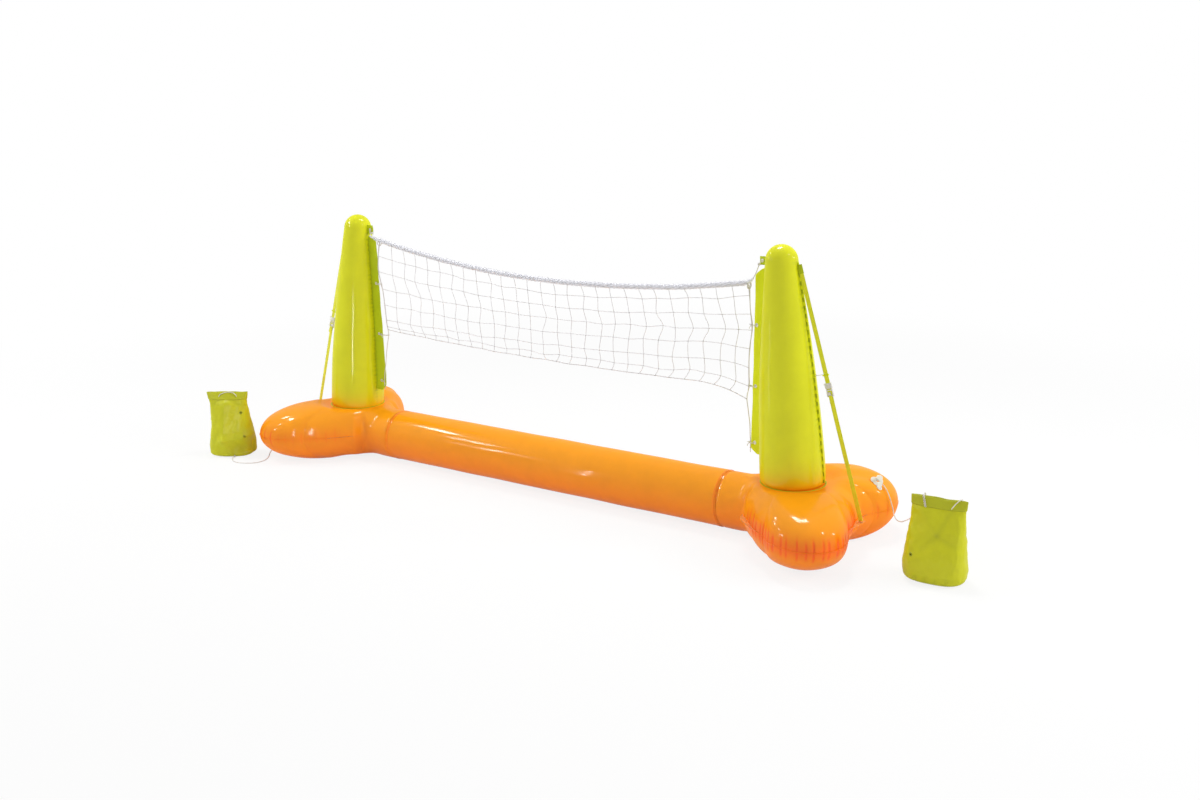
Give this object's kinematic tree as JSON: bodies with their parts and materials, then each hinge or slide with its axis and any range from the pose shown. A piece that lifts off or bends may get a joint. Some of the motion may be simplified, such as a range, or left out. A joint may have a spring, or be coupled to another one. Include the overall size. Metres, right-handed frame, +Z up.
{
  "type": "volleyball net on poles",
  "caption": "Air-filled floating net game: a long bar with lobed feet, tapered posts, a white net between them, guy straps and anchor bags on cords.",
  "frame": {"origin": "on the ground under the middle of the base bar, on the bar's flat underside", "axes": "+X along the base bar towards the right-hand post, +Y across the bar away from the viewer, +Z up"},
  "size_m": [2.8577, 0.7048, 0.9102],
  "materials": {
    "orange_vinyl": "glossy",
    "lime_vinyl": "glossy",
    "lime_sheet": "glossy",
    "clear_vinyl": "glossy, milky clear",
    "bag_vinyl": "glossy",
    "lime_strap": "woven, matte",
    "net_twine": "matte",
    "white_cord": "matte",
    "white_plastic": "satin"
  },
  "bodies": {
    "frame": {"base_bar": "orange_vinyl", "bar_weld_bands": "orange_vinyl", "left_foot": "orange_vinyl", "right_foot": "orange_vinyl", "left_foot_flange": "clear_vinyl", "right_foot_flange": "clear_vinyl", "left_post": "lime_vinyl", "right_post": "lime_vinyl", "left_post_ring": "lime_sheet", "right_post_ring": "lime_sheet", "left_post_fin": "lime_sheet", "right_post_fin": "lime_sheet", "left_net_flap": "lime_sheet", "right_net_flap": "lime_sheet", "left_net_tab": "lime_sheet", "right_net_tab": "lime_sheet", "left_eyelets": "white_plastic", "right_eyelets": "white_plastic", "net_mesh": "net_twine", "top_rope": "white_cord", "left_rope_tie": "white_cord", "right_rope_tie": "white_cord", "left_side_lace": "white_cord", "right_side_lace": "white_cord", "left_net_ties": "white_cord", "right_net_ties": "white_cord", "left_guy_strap": "lime_strap", "right_guy_strap": "lime_strap", "left_keeper": "white_plastic", "right_keeper": "white_plastic", "left_strap_post_patch": "lime_sheet", "right_strap_post_patch": "lime_sheet", "left_strap_foot_patch": "clear_vinyl", "right_strap_foot_patch": "clear_vinyl", "left_tether_patch": "white_plastic", "right_tether_patch": "white_plastic", "left_tether": "white_cord", "right_tether": "white_cord", "left_anchor_bag": "bag_vinyl", "right_anchor_bag": "bag_vinyl", "left_bag_hem": "lime_sheet", "right_bag_hem": "lime_sheet", "left_bag_tie": "white_cord", "right_bag_tie": "white_cord", "bar_valve": "clear_vinyl", "left_post_valve": "clear_vinyl", "right_post_valve": "clear_vinyl"},
    "left_buckle_body": {"left_buckle": "white_plastic", "left_strap_tail": "lime_strap"},
    "right_buckle_body": {"right_buckle": "white_plastic", "right_strap_tail": "lime_strap"},
    "bar_plug": {"bar_valve_plug": "clear_vinyl"},
    "left_plug": {"left_post_valve_plug": "clear_vinyl"},
    "right_plug": {"right_post_valve_plug": "clear_vinyl"}
  },
  "joints": [
    {"name": "right_buckle_slide", "type": "slide", "parent": "frame", "child": "right_buckle_body", "axis": [-0.2731, 0, 0.962], "range_m": [-0.06, 0.02]},
    {"name": "left_buckle_slide", "type": "slide", "parent": "frame", "child": "left_buckle_body", "axis": [0.2731, 0, 0.962], "range_m": [-0.06, 0.02]},
    {"name": "bar_plug_hinge", "type": "hinge", "parent": "frame", "child": "bar_plug", "pos_m": [0.4425, 0.0786, 0.14553], "axis": [0, 0.5736, -0.8192], "range_deg": [0, 150]},
    {"name": "right_plug_hinge", "type": "hinge", "parent": "frame", "child": "right_plug", "pos_m": [0.9258, 0.1029, 0.2966], "axis": [0.0698, 0, -0.9976], "range_deg": [0, 150]},
    {"name": "left_plug_hinge", "type": "hinge", "parent": "frame", "child": "left_plug", "pos_m": [-0.9258, 0.1029, 0.2966], "axis": [0.0698, 0, 0.9976], "range_deg": [0, 150]}
  ]
}
